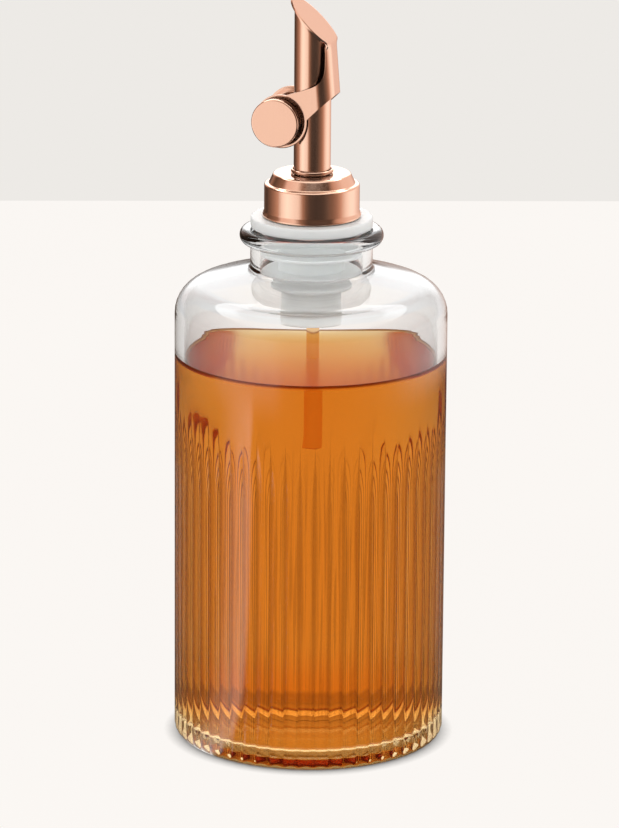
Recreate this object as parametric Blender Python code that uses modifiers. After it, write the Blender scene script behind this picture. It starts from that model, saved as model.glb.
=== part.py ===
"""Ribbed glass dispenser bottle with a weighted flip-lid pourer.

The origin is the centre of the bottle's foot, +Z is up and the spout pours towards -X.
The bottle stands still. The pourer (stopper, cap, spout and lid) pulls straight up out
of the neck, and the lid lever turns about a Y axis through two studs on the spout.
Every length is in metres.
"""
import math

import bmesh
import bpy
from mathutils import Matrix, Vector

# ---- driving dimensions -------------------------------------------------------------
GAP = 0.0003                 # clearance kept between pieces that touch

# bottle
BODY_R = 0.0380              # radius over the crests of the ribs
WALL = 0.0026                # glass thickness
FLOOR_T = 0.0048             # thickness of the foot
FLOOR_ROUND_R = 0.0045       # rounding between floor and wall, inside
HEEL_R = 0.0026              # rounding between foot and side
FOOT_RING_R = 0.0280         # inner edge of the flat ring that the bottle stands on
PUSH_UP = 0.0014             # how far the middle of the foot is raised
PUSH_UP_SLOPE = 0.0025       # width of the slope from the ring to the raised middle
RIBS = 58                    # upright ribs round the body
RIB_DEPTH = 0.00065          # crest to groove
RIB_FULL_Z = 0.0885          # the ribs have their whole depth up to here
RIB_END_Z = 0.0965           # and are gone here
SHOULDER_Z = 0.1223          # the side ends and the shoulder begins
SHOULDER_R = 0.0090          # rounding of the shoulder's corner
SHOULDER_TURN = 74.0         # degrees turned by that rounding
NECK_R = 0.0170
NECK_BORE_R = 0.0144
THROAT_SOFT = 0.0016         # easing where the shoulder's inner side meets the bore
LIP_SOFT = 0.0010            # easing of the lip's inner edge
NECK_FOOT_SOFT = 0.0020      # easing between shoulder and neck, outside
NECK_Z = 0.1362              # the shoulder has become the neck
LIP_R = 0.0200               # widest point of the rolled lip
LIP_Z = 0.1446               # its height
LIP_SECTION_R = 0.0021       # radius of the roll
LIP_TOP_Z = LIP_Z + LIP_SECTION_R

# stopper
FLANGE_R = 0.0170
FLANGE_TOP_Z = 0.1500
SPIGOT_R = 0.0120            # part of the stopper inside the cap
SPIGOT_TOP_Z = 0.1580
CORE_R = 0.0092
FIN_R = 0.0141               # sealing fins that fill the neck
FIN_ZS = (0.1348, 0.1405)    # height of the upper side of each of the two full fins
FIN_T = 0.0009
COLLAR_R = 0.0114            # thicker stretch of the core just under the flange
COLLAR_LOW_Z = 0.1447
COLLAR_TAPER = 0.0010
STOPPER_SOFT = 0.0004        # chamfers
SKIRT_R = 0.0112
SKIRT_Z = 0.1295
TAIL_R = 0.0083
TAIL_Z = 0.1210              # lower end of the stopper

# cap shell
CAP_R = 0.01325
CAP_RIM_R = 0.0135
CAP_T = 0.0007
CAP_RIM_Z = FLANGE_TOP_Z + GAP
CAP_CORNER_Z = 0.1586
CAP_ROOF_Z = 0.1623
CAP_ROOF_R = 0.0101          # the flat roof ends here and the slope begins
CAP_CORNER_R = 0.0008
CAP_STEP_IN = 0.0013         # the slope starts this far inside the side wall
CAP_FLARE_H = 0.0009         # height of the flared rim

# spout and air tube
SPOUT_R = 0.00513
SPOUT_BORE_R = 0.00460
SPOUT_FOOT_Z = 0.1225
MOUTH_Z = 0.2040             # height of the slanted mouth on the spout's axis
MOUTH_SLOPE = math.radians(45.0)
FOOT_RING_OUT_R = 0.0059
FOOT_RING_T = 0.0009
FOOT_RING_SOFT = 0.0002
AIR_R = 0.0018
AIR_BORE_R = 0.0012
AIR_XY = (0.0011, -0.0019)   # the air tube stands a little off the spout's axis
AIR_BOTTOM_Z = 0.0846
AIR_TOP_Z = 0.1650
HOLDER_Z = (0.1240, 0.1280)
PASSAGE_R = 0.0011           # two passages beside the air tube let the liquid past
PASSAGE_OUT = 0.0024         # their distance from the spout's axis
PASSAGE_TURN = 52.0          # degrees to either side of the direction away from the tube

# lid lever
LID_LONG_R = 0.00915         # along the slope of the mouth
LID_WIDE_R = 0.0071
LID_T = 0.0008
LID_FOLD = 0.0079            # the plate folds into the spine this far down its slope
ARM_IN_Y = 0.00555           # inner face of each arm
ARM_OUT_Y = 0.00650
BACK_IN_X = 0.00545          # inner face of the spine at the height of the mouth
BACK_T = 0.0007
BACK_TOP_Z = 0.2000
BACK_LEAN = 0.080            # the spine leans out by this much for each unit downwards
BACK_CORNER_R = 0.0028       # bend between arm and spine, inner side
BACK_FACE_X = 0.0053         # plane inside the spine where the side view is cut off
WINDOW_EDGE = (              # (x, z) of the window's edge, from the spine to the eye
    (0.0053, 0.1943), (0.0052, 0.1916), (0.0048, 0.1903), (0.0040, 0.1890),
    (0.0024, 0.1879), (0.0010, 0.1873), (-0.0012, 0.1866), (-0.0028, 0.1860))
SPINE_LOW = (0.0080, 0.1861)  # (x, z) of the spine's lower end in the side view
EYE_X = -0.0073
EYE_Z = 0.1775
EYE_R = 0.0075

# counterweight
WEIGHT_X = -0.0081
WEIGHT_Z = 0.1775
KNOB_R = 0.00675
KNOB_IN_Y = 0.00680
KNOB_OUT_Y = 0.00960
KNOB_SOFT = 0.0003
KNOB_STEP_R = 0.00615        # the disc is a little smaller next to the eye
PIN_R = 0.0020
PIN_END_Y = 0.0086

# pivot
PIVOT_X = 0.0
PIVOT_Z = 0.1828
STUD_R = 0.0012
STUD_END_Y = 0.00598
SOCKET_END_Y = 0.00622

# facets round one turn
BOTTLE_STEPS = RIBS * 2
ROUND_STEPS = 32
SMALL_STEPS = 24
LID_STEPS = 40


# ---- scene and materials ------------------------------------------------------------
def clear_scene():
    for obj in list(bpy.data.objects):
        bpy.data.objects.remove(obj, do_unlink=True)


def new_collection(name):
    coll = bpy.data.collections.new(name)
    bpy.context.scene.collection.children.link(coll)
    return coll


def make_material(name, colour, roughness, metallic=0.0, transmission=0.0, ior=1.5):
    mat = bpy.data.materials.new(name)
    mat.use_nodes = True
    shader = mat.node_tree.nodes["Principled BSDF"]
    shader.inputs["Base Color"].default_value = (*colour, 1.0)
    shader.inputs["Roughness"].default_value = roughness
    shader.inputs["Metallic"].default_value = metallic
    shader.inputs["Transmission Weight"].default_value = transmission
    shader.inputs["IOR"].default_value = ior
    mat.diffuse_color = (*colour, 1.0)
    return mat


def add_object(name, mesh, coll):
    obj = bpy.data.objects.new(name, mesh)
    coll.objects.link(obj)
    return obj


def finish_piece(obj, mat):
    """Give a piece its material and smooth its round faces."""
    obj.data.materials.clear()
    obj.data.materials.append(mat)
    obj.data.shade_smooth()
    obj.data.set_sharp_from_angle(angle=math.radians(32.0))
    return obj


# ---- modelling helpers --------------------------------------------------------------
def arc(centre_r, centre_z, radius, start, end, count):
    """Points of a round stretch of a profile, angles in degrees from +r towards +z."""
    points = []
    for i in range(count + 1):
        angle = math.radians(start + (end - start) * i / count)
        points.append((centre_r + radius * math.cos(angle),
                       centre_z + radius * math.sin(angle)))
    return points


def turned(name, profile, steps, coll, closed):
    """A Screw modifier turns the (radius, height) profile once round Z."""
    mesh = bpy.data.meshes.new(name)
    edges = [(i, i + 1) for i in range(len(profile) - 1)]
    if closed:
        edges.append((len(profile) - 1, 0))
    mesh.from_pydata([(r, 0.0, z) for r, z in profile], edges, [])
    obj = add_object(name, mesh, coll)
    screw = obj.modifiers.new("Turn", "SCREW")
    screw.axis = "Z"
    screw.angle = math.tau
    screw.steps = steps
    screw.render_steps = steps
    screw.use_merge_vertices = True
    screw.merge_threshold = 0.00001
    screw.use_normal_calculate = False
    return obj


def bake(obj):
    """Replace an object that has modifiers, or a curve, by its evaluated mesh."""
    bpy.context.view_layer.update()
    depsgraph = bpy.context.evaluated_depsgraph_get()
    mesh = bpy.data.meshes.new_from_object(obj.evaluated_get(depsgraph))
    work = bmesh.new()
    work.from_mesh(mesh)
    bmesh.ops.remove_doubles(work, verts=work.verts, dist=0.000005)
    work.to_mesh(mesh)
    work.free()
    mesh.transform(obj.matrix_world)
    name = obj.name
    coll = obj.users_collection[0]
    bpy.data.objects.remove(obj, do_unlink=True)
    mesh.name = name
    return add_object(name, mesh, coll)


def slab(name, outline, thickness, coll, matrix):
    """A flat outline filled as a 2D curve and thickened evenly about its own plane."""
    curve = bpy.data.curves.new(name, "CURVE")
    curve.dimensions = "2D"
    curve.fill_mode = "BOTH"
    curve.extrude = thickness / 2.0
    spline = curve.splines.new("POLY")
    spline.points.add(len(outline) - 1)
    for point, (u, v) in zip(spline.points, outline):
        point.co = (u, v, 0.0, 1.0)
    spline.use_cyclic_u = True
    obj = add_object(name, curve, coll)
    obj.matrix_world = matrix
    return bake(obj)


def rod(name, radius, length, steps, centre, axis, coll):
    """A plain cylinder with its middle at centre, along the X, Y or Z axis."""
    mesh = bpy.data.meshes.new(name)
    work = bmesh.new()
    bmesh.ops.create_cone(work, cap_ends=True, cap_tris=False, segments=steps,
                          radius1=radius, radius2=radius, depth=length)
    work.to_mesh(mesh)
    work.free()
    turn = Vector((0.0, 0.0, 1.0)).rotation_difference(Vector(axis)).to_matrix().to_4x4()
    mesh.transform(Matrix.Translation(centre) @ turn)
    return add_object(name, mesh, coll)


def combine(obj, tool, operation):
    """Boolean with the exact solver, applied at once; the tool stays as a hidden guide."""
    boolean = obj.modifiers.new(operation.title(), "BOOLEAN")
    boolean.operation = operation
    boolean.solver = "EXACT"
    boolean.object = tool
    result = bake(obj)
    tool.hide_render = True
    tool.display_type = "WIRE"
    return result


def along_y(side):
    """Places a profile's own Z axis along +Y or -Y."""
    return Matrix.Rotation(math.radians(-90.0 * side), 4, "X")


# ---- bottle -------------------------------------------------------------------------
def bottle_profile():
    turn = math.radians(SHOULDER_TURN)
    fall = math.tan(math.pi / 2.0 - turn)
    corner_r = BODY_R - SHOULDER_R
    arc_end_r = corner_r + SHOULDER_R * math.cos(turn)
    arc_end_z = SHOULDER_Z + SHOULDER_R * math.sin(turn)
    inner_arc = SHOULDER_R - WALL
    inner_end_r = corner_r + inner_arc * math.cos(turn)
    inner_end_z = SHOULDER_Z + inner_arc * math.sin(turn)
    inside_r = BODY_R - WALL
    throat_r = NECK_BORE_R + THROAT_SOFT

    points = [(0.0, FLOOR_T)]
    points += arc(inside_r - FLOOR_ROUND_R, FLOOR_T + FLOOR_ROUND_R, FLOOR_ROUND_R,
                  -90.0, 0.0, 3)
    points += [(inside_r, RIB_END_Z)]
    points += arc(corner_r, SHOULDER_Z, inner_arc, 0.0, SHOULDER_TURN, 3)
    points += [(throat_r, inner_end_z + (inner_end_r - throat_r) * fall)]
    points += [(NECK_BORE_R, NECK_Z - 0.0006)]
    points += [(NECK_BORE_R, LIP_TOP_Z - LIP_SOFT)]
    lip_centre_r = LIP_R - LIP_SECTION_R
    points += [(NECK_BORE_R + LIP_SOFT, LIP_TOP_Z)]
    points += arc(lip_centre_r, LIP_Z, LIP_SECTION_R, 90.0, -70.0, 6)
    points += [(NECK_R, LIP_Z - LIP_SECTION_R - 0.0002)]
    points += [(NECK_R, NECK_Z)]
    points += [(NECK_R + 0.0003, NECK_Z - 0.0007)]
    foot_r = NECK_R + NECK_FOOT_SOFT
    points += [(foot_r, arc_end_z + (arc_end_r - foot_r) * fall)]
    points += arc(corner_r, SHOULDER_Z, SHOULDER_R, SHOULDER_TURN, 0.0, 4)
    points += [(BODY_R, RIB_END_Z), (BODY_R, RIB_FULL_Z)]
    points += arc(BODY_R - HEEL_R, HEEL_R, HEEL_R, 0.0, -90.0, 3)
    points += [(FOOT_RING_R, 0.0), (FOOT_RING_R - PUSH_UP_SLOPE, PUSH_UP * 0.6)]
    points += [(0.0, PUSH_UP)]
    return points


def rib_strength(z):
    """How deep the grooves are at a height: nothing at the foot and above the ribs."""
    rise = min(max((z - 0.0002) / HEEL_R, 0.0), 1.0)
    fade = min(max((RIB_END_Z - z) / (RIB_END_Z - RIB_FULL_Z), 0.0), 1.0)
    return rise * fade


def make_bottle(coll, mat):
    """Every second column of vertices on the outer side is pressed in, which ribs it."""
    obj = bake(turned("glass_bottle", bottle_profile(), BOTTLE_STEPS, coll, False))
    outer_from = BODY_R - HEEL_R * 1.1
    inside = BODY_R - WALL + 0.0001
    for vert in obj.data.vertices:
        radius = math.hypot(vert.co.x, vert.co.y)
        column = round(math.atan2(vert.co.y, vert.co.x) / math.tau * BOTTLE_STEPS)
        on_outside = radius > inside or (vert.co.z < HEEL_R and radius > outer_from)
        if on_outside and column % 2:
            scale = 1.0 - RIB_DEPTH * rib_strength(vert.co.z) / radius
            vert.co.x *= scale
            vert.co.y *= scale
    return finish_piece(obj, mat)


# ---- stopper, cap, spout and air tube -----------------------------------------------
def make_stopper(coll, mat):
    bore = SPOUT_R + GAP
    soft = STOPPER_SOFT
    points = [(bore, TAIL_Z), (bore, SPIGOT_TOP_Z), (SPIGOT_R - soft, SPIGOT_TOP_Z)]
    points += [(SPIGOT_R, SPIGOT_TOP_Z - soft), (SPIGOT_R, FLANGE_TOP_Z)]
    points += [(FLANGE_R - soft, FLANGE_TOP_Z), (FLANGE_R, FLANGE_TOP_Z - soft)]
    points += [(FLANGE_R, LIP_TOP_Z + GAP), (COLLAR_R, LIP_TOP_Z + GAP)]
    points += [(COLLAR_R, COLLAR_LOW_Z), (CORE_R, COLLAR_LOW_Z - COLLAR_TAPER)]
    for fin_z in reversed(FIN_ZS):
        points += [(CORE_R, fin_z + soft), (FIN_R, fin_z)]
        points += [(FIN_R, fin_z - FIN_T), (CORE_R, fin_z - 1.6 * FIN_T)]
    points += [(CORE_R, SKIRT_Z + 3.0 * soft), (SKIRT_R, SKIRT_Z), (SKIRT_R, SKIRT_Z - FIN_T)]
    points += [(TAIL_R, SKIRT_Z - 1.4 * FIN_T), (TAIL_R, TAIL_Z + soft)]
    points += [(TAIL_R - soft, TAIL_Z)]
    return finish_piece(turned("stopper_plug", points, ROUND_STEPS, coll, True), mat)


def make_cap(coll, mat):
    """A pressed shell: side wall, small stepped shoulder, sloping roof round the spout."""
    corner = CAP_CORNER_R
    hole = SPOUT_R + GAP
    step_z = CAP_CORNER_Z + corner + 0.0001
    outside = [(hole, CAP_ROOF_Z), (CAP_ROOF_R, CAP_ROOF_Z - 0.5 * corner)]
    outside += [(CAP_ROOF_R + 0.6 * corner, CAP_ROOF_Z - 0.9 * corner)]
    outside += [(CAP_R - CAP_STEP_IN, step_z)]
    outside += arc(CAP_R - corner, CAP_CORNER_Z, corner, 80.0, 0.0, 3)
    outside += [(CAP_R, CAP_RIM_Z + CAP_FLARE_H), (CAP_RIM_R, CAP_RIM_Z + CAP_FLARE_H / 3.0)]
    outside += [(CAP_RIM_R - 0.0002, CAP_RIM_Z)]
    inner_r = CAP_R - CAP_T
    inside = [(inner_r, CAP_RIM_Z), (inner_r, CAP_CORNER_Z - 0.0002)]
    inside += [(CAP_R - 2.0 * corner, CAP_CORNER_Z + 0.0001)]
    inside += [(CAP_ROOF_R, CAP_ROOF_Z - 2.0 * CAP_T), (hole, CAP_ROOF_Z - CAP_T)]
    return finish_piece(turned("cap_shell", outside + inside, ROUND_STEPS, coll, True), mat)


def make_spout(coll, cutters, mat):
    """A straight tube whose mouth is cut on a slant, high side towards -X."""
    top_z = MOUTH_Z + SPOUT_R + 0.0010
    points = [(SPOUT_BORE_R, top_z), (SPOUT_R, top_z)]
    points += [(SPOUT_R, SPOUT_FOOT_Z), (SPOUT_BORE_R, SPOUT_FOOT_Z)]
    obj = turned("spout_tube", points, SMALL_STEPS + 8, coll, True)
    block = 0.020
    slant = Matrix.Translation((0.0, 0.0, MOUTH_Z)) @ Matrix.Rotation(MOUTH_SLOPE, 4, "Y")
    square = [(-block, -block), (block, -block), (block, block), (-block, block)]
    lift = Matrix.Translation((0.0, 0.0, block / 2.0))
    cutter = slab("mouth_cutter", square, block, cutters, slant @ lift)
    return finish_piece(combine(obj, cutter, "DIFFERENCE"), mat)


def make_foot_ring(coll, mat):
    low = CAP_ROOF_Z + GAP
    inner = SPOUT_R + GAP
    soft = FOOT_RING_SOFT
    points = [(inner, low + FOOT_RING_T), (FOOT_RING_OUT_R - soft, low + FOOT_RING_T)]
    points += [(FOOT_RING_OUT_R, low + FOOT_RING_T - soft), (FOOT_RING_OUT_R, low + soft)]
    points += [(FOOT_RING_OUT_R - soft, low), (inner, low)]
    return finish_piece(turned("spout_foot_ring", points, SMALL_STEPS + 8, coll, True), mat)


def make_air_tube(coll, mat):
    points = [(AIR_BORE_R, AIR_TOP_Z), (AIR_R, AIR_TOP_Z)]
    points += [(AIR_R, AIR_BOTTOM_Z), (AIR_BORE_R, AIR_BOTTOM_Z)]
    obj = turned("air_tube", points, SMALL_STEPS, coll, True)
    obj.location = (AIR_XY[0], AIR_XY[1], 0.0)
    return finish_piece(obj, mat)


def make_air_holder(coll, cutters, mat):
    """A small plug in the spout's foot: it grips the air tube and lets the liquid past."""
    low, high = HOLDER_Z
    middle = (low + high) / 2.0
    height = high - low
    obj = rod("air_tube_holder", SPOUT_BORE_R - GAP, height, SMALL_STEPS + 8,
              (0.0, 0.0, middle), (0, 0, 1), coll)
    hole = rod("air_hole_cutter", AIR_R + GAP, height * 2.0, SMALL_STEPS,
               (AIR_XY[0], AIR_XY[1], middle), (0, 0, 1), cutters)
    obj = combine(obj, hole, "DIFFERENCE")
    away = Vector((-AIR_XY[0], -AIR_XY[1], 0.0)).normalized() * PASSAGE_OUT
    for side in (-1.0, 1.0):
        spot = Matrix.Rotation(math.radians(PASSAGE_TURN * side), 4, "Z") @ away
        passage = rod("passage_cutter", PASSAGE_R, height * 2.0, SMALL_STEPS // 2,
                      (spot.x, spot.y, middle), (0, 0, 1), cutters)
        obj = combine(obj, passage, "DIFFERENCE")
    return finish_piece(obj, mat)


# ---- lid lever ----------------------------------------------------------------------
def channel_outline():
    """Plan of the bent sheet: two straight arms and a flat spine with round corners."""
    arm_end = EYE_X - EYE_R - 0.0005
    outer_back = BACK_IN_X + BACK_T
    outer_corner = BACK_CORNER_R + 0.0008
    outer_x, outer_y = outer_back - outer_corner, ARM_OUT_Y - outer_corner
    inner_x, inner_y = BACK_IN_X - BACK_CORNER_R, ARM_IN_Y - BACK_CORNER_R
    outline = [(arm_end, ARM_OUT_Y)]
    outline += arc(outer_x, outer_y, outer_corner, 90.0, 0.0, 5)
    outline += arc(outer_x, -outer_y, outer_corner, 0.0, -90.0, 5)
    outline += [(arm_end, -ARM_OUT_Y), (arm_end, -ARM_IN_Y)]
    outline += arc(inner_x, -inner_y, BACK_CORNER_R, -90.0, 0.0, 5)
    outline += arc(inner_x, inner_y, BACK_CORNER_R, 0.0, 90.0, 5)
    outline += [(arm_end, ARM_IN_Y)]
    return outline


def side_outline():
    """Side view of the lever: round eye, arm under the window, and the upright spine."""
    lid_mid = MOUTH_Z + (GAP + LID_T / 2.0) * math.sqrt(2.0)
    spine_x = SPINE_LOW[0]
    outline = arc(EYE_X, EYE_Z, EYE_R, 66.0, 357.0, 26)
    outline += [SPINE_LOW, (spine_x, lid_mid - spine_x)]
    outline += [(BACK_FACE_X, lid_mid - BACK_FACE_X), *WINDOW_EDGE]
    return outline


def make_flip_lid(coll, cutters, mat):
    low_z = EYE_Z - EYE_R - 0.0010
    height = BACK_TOP_Z + 0.0010 - low_z
    middle = Matrix.Translation((0.0, 0.0, low_z + height / 2.0))
    obj = slab("flip_lid", channel_outline(), height, coll, middle)
    for vert in obj.data.vertices:
        if vert.co.x > 0.0:
            lean = BACK_LEAN * (BACK_TOP_Z - vert.co.z)
            vert.co.x += lean * min(vert.co.x / (BACK_IN_X - BACK_CORNER_R), 1.0)

    # The outline's own axes become X and Z; it is far wider than the lever.
    upright = Matrix.Rotation(math.radians(90.0), 4, "X")
    side = slab("lever_side_cutter", side_outline(), 0.040, cutters, upright)
    obj = combine(obj, side, "INTERSECT")

    # The ellipse leaves out its point at angle 0, which the fold cuts off.
    ellipse = []
    for i in range(1, LID_STEPS):
        angle = math.tau * i / LID_STEPS
        down_slope = min(LID_LONG_R * math.cos(angle), LID_FOLD)
        ellipse.append((down_slope, LID_WIDE_R * math.sin(angle)))
    seat = Matrix.Translation((0.0, 0.0, MOUTH_Z)) @ Matrix.Rotation(MOUTH_SLOPE, 4, "Y")
    lift = Matrix.Translation((0.0, 0.0, GAP + LID_T / 2.0))
    lid = slab("lid_plate_guide", ellipse, LID_T, cutters, seat @ lift)
    obj = combine(obj, lid, "UNION")

    pin_hole = rod("pin_hole_cutter", PIN_R + GAP, 0.030, SMALL_STEPS,
                   (WEIGHT_X, 0.0, WEIGHT_Z), (0, 1, 0), cutters)
    obj = combine(obj, pin_hole, "DIFFERENCE")
    socket = rod("stud_socket_cutter", STUD_R + GAP, 2.0 * SOCKET_END_Y, SMALL_STEPS,
                 (PIVOT_X, 0.0, PIVOT_Z), (0, 1, 0), cutters)
    obj = combine(obj, socket, "DIFFERENCE")
    pivot = Matrix.Translation((PIVOT_X, 0.0, PIVOT_Z))
    obj.data.transform(pivot.inverted())
    obj.matrix_world = pivot
    return finish_piece(obj, mat)


# ---- counterweight and pivot --------------------------------------------------------
def make_knob(side_name, side, coll, mat, lever):
    """A turned disc with a blind bore for the pin and a thin step next to the eye."""
    bore = PIN_R + GAP
    soft = KNOB_SOFT
    bore_depth = PIN_END_Y + GAP
    points = [(0.0, bore_depth), (bore, bore_depth), (bore, KNOB_IN_Y)]
    points.reverse()
    face = [(0.0, KNOB_OUT_Y), (KNOB_R - soft, KNOB_OUT_Y), (KNOB_R, KNOB_OUT_Y - soft)]
    face += [(KNOB_R, KNOB_IN_Y + 2.0 * soft), (KNOB_STEP_R, KNOB_IN_Y + soft)]
    face += [(KNOB_STEP_R, KNOB_IN_Y)]
    obj = turned("weight_knob_" + side_name, face + points, ROUND_STEPS, coll, False)
    obj.matrix_world = Matrix.Translation((WEIGHT_X, 0.0, WEIGHT_Z)) @ along_y(side)
    finish_piece(obj, mat)
    keep_place(obj, lever)
    return obj


def keep_place(obj, parent):
    """Parent without moving the child."""
    placed = obj.matrix_world.copy()
    obj.parent = parent
    obj.matrix_parent_inverse = parent.matrix_world.inverted()
    obj.matrix_world = placed


def make_stud(side_name, side, coll, mat):
    start = SPOUT_R + GAP
    middle = side * (start + STUD_END_Y) / 2.0
    obj = rod("pivot_stud_" + side_name, STUD_R, STUD_END_Y - start, SMALL_STEPS,
              (PIVOT_X, middle, PIVOT_Z), (0, 1, 0), coll)
    return finish_piece(obj, mat)


def main():
    clear_scene()
    parts = new_collection("flip_lid_dispenser_bottle")
    cutters = new_collection("cutters")
    glass = make_material("clear_glass", (0.95, 0.96, 0.95), 0.03, transmission=1.0)
    copper = make_material("rose_copper", (0.80, 0.46, 0.33), 0.24, metallic=1.0)
    plastic = make_material("milky_plastic", (0.80, 0.82, 0.81), 0.40, transmission=0.35)

    make_bottle(parts, glass)
    make_stopper(parts, plastic)
    make_cap(parts, copper)
    make_spout(parts, cutters, copper)
    make_foot_ring(parts, copper)
    make_air_tube(parts, copper)
    make_air_holder(parts, cutters, plastic)
    lever = make_flip_lid(parts, cutters, copper)
    for side_name, side in (("front", -1.0), ("rear", 1.0)):
        make_knob(side_name, side, parts, copper, lever)
        make_stud(side_name, side, parts, copper)
    pin = rod("weight_pin", PIN_R, 2.0 * PIN_END_Y, SMALL_STEPS,
              (WEIGHT_X, 0.0, WEIGHT_Z), (0, 1, 0), parts)
    keep_place(finish_piece(pin, copper), lever)


main()
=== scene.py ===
"""A ribbed glass oil bottle with a copper flip-lid pourer, on a pale studio floor.

Lengths in the sections are millimetres; each mesh is scaled to metres when it is made.
The bottle's foot is at the origin, +Z is up and the spout pours towards -X.
"""
import math

import bpy
import numpy as np
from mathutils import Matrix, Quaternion, Vector


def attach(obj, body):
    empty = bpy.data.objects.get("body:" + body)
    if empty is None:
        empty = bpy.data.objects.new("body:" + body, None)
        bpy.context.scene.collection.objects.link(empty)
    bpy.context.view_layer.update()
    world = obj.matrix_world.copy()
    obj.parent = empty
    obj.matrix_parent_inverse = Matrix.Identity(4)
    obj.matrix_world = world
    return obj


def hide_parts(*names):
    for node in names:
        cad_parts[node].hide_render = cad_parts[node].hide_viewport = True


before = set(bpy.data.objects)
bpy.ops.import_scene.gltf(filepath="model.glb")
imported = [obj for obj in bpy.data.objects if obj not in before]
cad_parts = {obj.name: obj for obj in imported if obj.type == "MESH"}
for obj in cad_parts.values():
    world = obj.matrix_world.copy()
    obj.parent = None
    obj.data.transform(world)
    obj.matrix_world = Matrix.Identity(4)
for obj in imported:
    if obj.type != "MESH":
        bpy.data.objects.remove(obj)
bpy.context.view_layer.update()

# ---- Camera -------------------------------------------------------------------------
# A long lens a metre and a half away, a little above the bottle and to the right of
# its pouring plane.
VIEW_AZIMUTH = math.radians(16.5)
VIEW_RISE = math.radians(15.8)
VIEW_DISTANCE = 1.540
VIEW_HEIGHT = 0.0928
VIEW_SIDE = -0.00025
VIEW_ROLL = math.radians(0.4)
LENS, SENSOR_WIDTH = 239.1, 36.0         # millimetres
camera_data = bpy.data.cameras.new("camera")
camera_data.lens = LENS
camera_data.sensor_width = SENSOR_WIDTH
camera = bpy.data.objects.new("camera", camera_data)
bpy.context.scene.collection.objects.link(camera)
toward_camera = Vector((math.sin(VIEW_AZIMUTH) * math.cos(VIEW_RISE),
                        -math.cos(VIEW_AZIMUTH) * math.cos(VIEW_RISE),
                        math.sin(VIEW_RISE)))
to_the_right = Vector((math.cos(VIEW_AZIMUTH), math.sin(VIEW_AZIMUTH), 0.0))
camera.location = (Vector((0.0, 0.0, VIEW_HEIGHT)) + toward_camera * VIEW_DISTANCE
                   + to_the_right * VIEW_SIDE)
camera.rotation_mode = "QUATERNION"
roll = Quaternion((0.0, 0.0, 1.0), VIEW_ROLL)
camera.rotation_quaternion = (-toward_camera).to_track_quat("-Z", "Y") @ roll
camera_data.clip_start = 0.1
camera_data.clip_end = 50.0
bpy.context.scene.camera = camera
bpy.context.scene.view_settings.view_transform = "Standard"
light_paths = bpy.context.scene.cycles
light_paths.max_bounces = 32
light_paths.transmission_bounces = 32
light_paths.glossy_bounces = 5
light_paths.transparent_max_bounces = 24


# ---- Studio -------------------------------------------------------------------------
# A white tent with an overhead softbox over a pale board that glows. Darker stretches in
# the rings of light draw the bands in the copper. What is seen depends on the kind of ray.
def new_node(tree, kind, **values):
    """Adds a shader node and sets its plain properties."""
    made = tree.nodes.new(kind)
    for name, value in values.items():
        setattr(made, name, value)
    return made


def calculate(tree, operation, first, second=None, third=None):
    """A Math node; each operand is a socket or a number."""
    made = new_node(tree, "ShaderNodeMath", operation=operation)
    for socket, value in zip(made.inputs, (first, second, third)):
        if isinstance(value, bpy.types.NodeSocket):
            tree.links.new(value, socket)
        elif value is not None:
            socket.default_value = value
    return made.outputs[0]


def step_between(tree, value, low, high):
    """A smooth step of a socket's value, 0 below low and 1 above high."""
    made = new_node(tree, "ShaderNodeMapRange", interpolation_type="SMOOTHSTEP")
    tree.links.new(value, made.inputs["Value"])
    made.inputs["From Min"].default_value = low
    made.inputs["From Max"].default_value = high
    return made.outputs["Result"]


WARM_LEVELS = (0.0, 0.1, 0.2, 0.5, 0.7, 0.85, 0.95, 1.03)
WARM_GREEN = (0.72, 0.68, 0.60, 0.62, 0.68, 0.76, 0.86, 1.0)
WARM_BLUE = (0.60, 0.52, 0.43, 0.46, 0.56, 0.70, 0.80, 1.0)


def ring_of_light(tree, turn, stops, warm=False):
    """Light round the horizon: stops are (degrees to the camera's right, level).

    A warm ring's middle levels lean towards amber, as wood and skin round a set do.
    """
    made = new_node(tree, "ShaderNodeValToRGB")
    ramp = made.color_ramp
    ramp.interpolation = "LINEAR"
    for index, (degrees, level) in enumerate(stops):
        place = (degrees + 180.0) / 360.0
        stop = ramp.elements[index] if index < 2 else ramp.elements.new(place)
        stop.position = place
        green = np.interp(level, WARM_LEVELS, WARM_GREEN) if warm else 1.0
        blue = np.interp(level, WARM_LEVELS, WARM_BLUE) if warm else 1.0
        stop.color = (level, level * green, level * blue, 1.0)
    tree.links.new(turn, made.inputs["Fac"])
    return made.outputs["Color"]


def blend_colours(tree, factor, first, second):
    """Mixes two colours; each is a socket or a colour."""
    made = new_node(tree, "ShaderNodeMix", data_type="RGBA")
    if isinstance(factor, bpy.types.NodeSocket):
        tree.links.new(factor, made.inputs["Factor"])
    else:
        made.inputs["Factor"].default_value = factor
    for socket, value in ((made.inputs["A"], first), (made.inputs["B"], second)):
        socket = [s for s in made.inputs if s.name == socket.name and s.type == "RGBA"][0]
        if isinstance(value, bpy.types.NodeSocket):
            tree.links.new(value, socket)
        else:
            socket.default_value = (*value, 1.0)
    return [s for s in made.outputs if s.type == "RGBA"][0]


def noise_over(tree, place, scale=1.0, detail=2.0):
    """Smooth noise, 0 to 1, over a place; the scale is its waves in one unit of length."""
    made = new_node(tree, "ShaderNodeTexNoise")
    made.inputs["Scale"].default_value = scale
    made.inputs["Detail"].default_value = detail
    tree.links.new(place, made.inputs["Vector"])
    return made.outputs["Fac"]


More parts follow.
